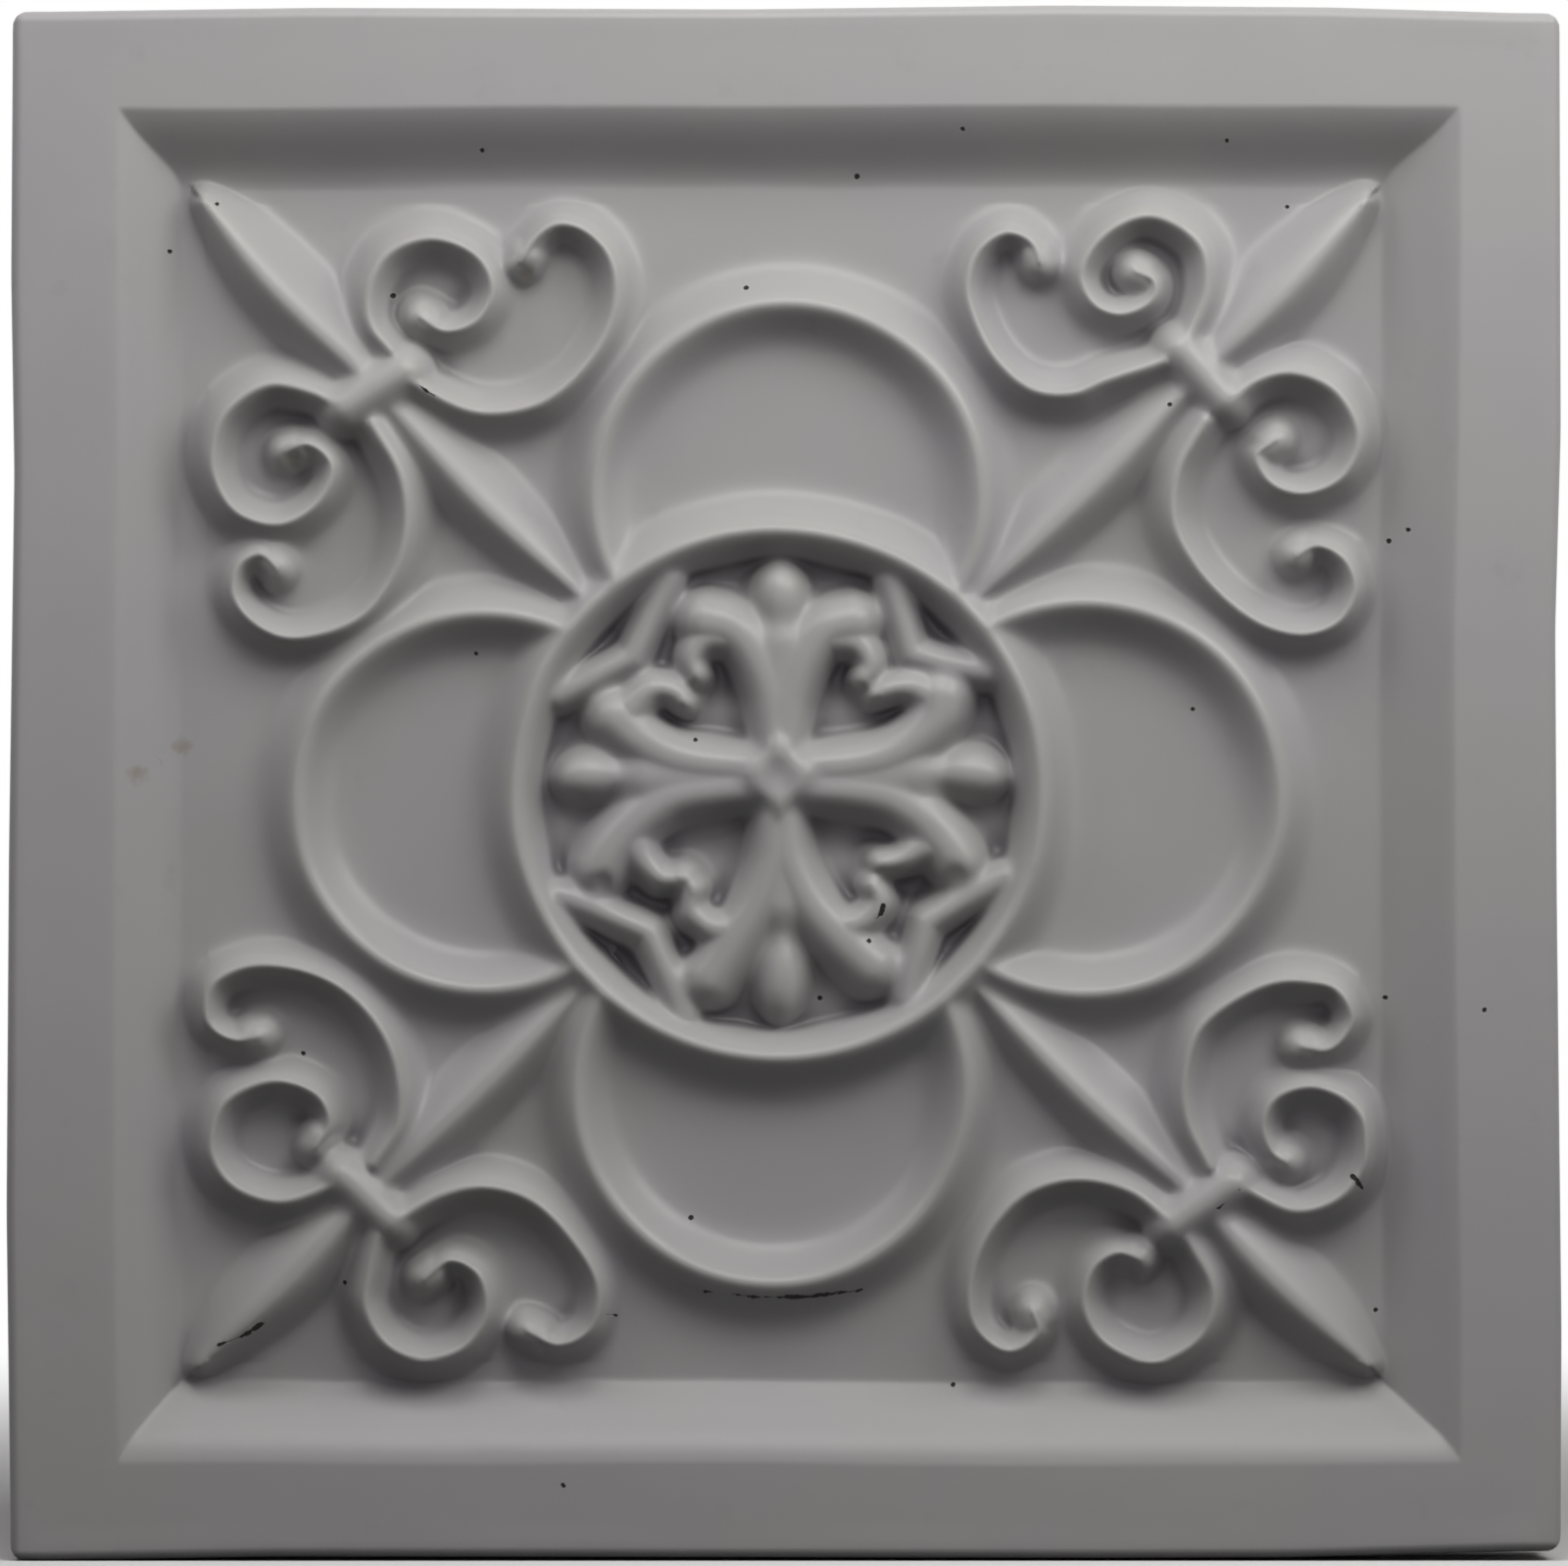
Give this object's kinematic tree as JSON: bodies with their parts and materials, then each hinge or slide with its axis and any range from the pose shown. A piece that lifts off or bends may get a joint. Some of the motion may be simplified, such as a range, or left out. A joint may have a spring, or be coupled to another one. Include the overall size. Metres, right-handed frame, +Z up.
{
  "type": "relief tile",
  "caption": "Square glazed relief tile: moulded frame, quatrefoil of rings around a foliate cross, and a fleur-de-lis in each corner.",
  "frame": {"origin": "middle of the lower edge: centred in width and in thickness, on the surface that the tile stands on", "axes": "+Z up along the face, +X to the right seen from the front, -Y out of the relief, +Y out of the flat back"},
  "size_m": [0.2, 0.02, 0.2],
  "materials": {
    "glaze": "smooth glossy pale grey glaze",
    "clay": "unglazed fired clay, matt"
  },
  "bodies": {
    "root": {"base_slab": "clay", "frame_top": "glaze", "frame_right": "glaze", "frame_bottom": "glaze", "frame_left": "glaze", "centre_ring": "glaze", "foil_ring_top": "glaze", "foil_ring_right": "glaze", "foil_ring_bottom": "glaze", "foil_ring_left": "glaze", "cusp_nw": "glaze", "cusp_ne": "glaze", "cusp_se": "glaze", "cusp_sw": "glaze", "cross_boss": "glaze", "bud_top": "glaze", "bud_right": "glaze", "bud_bottom": "glaze", "bud_left": "glaze", "frond_top": "glaze", "frond_right": "glaze", "frond_bottom": "glaze", "frond_left": "glaze", "nw_collar": "glaze", "nw_spear": "glaze", "nw_stem": "glaze", "nw_volute_top": "glaze", "nw_volute_left": "glaze", "nw_arm_top": "glaze", "nw_arm_left": "glaze", "ne_collar": "glaze", "ne_spear": "glaze", "ne_stem": "glaze", "ne_volute_top": "glaze", "ne_volute_right": "glaze", "ne_arm_top": "glaze", "ne_arm_right": "glaze", "se_collar": "glaze", "se_spear": "glaze", "se_stem": "glaze", "se_volute_bottom": "glaze", "se_volute_right": "glaze", "se_arm_bottom": "glaze", "se_arm_right": "glaze", "sw_collar": "glaze", "sw_spear": "glaze", "sw_stem": "glaze", "sw_volute_bottom": "glaze", "sw_volute_left": "glaze", "sw_arm_bottom": "glaze", "sw_arm_left": "glaze"}
  },
  "joints": []
}
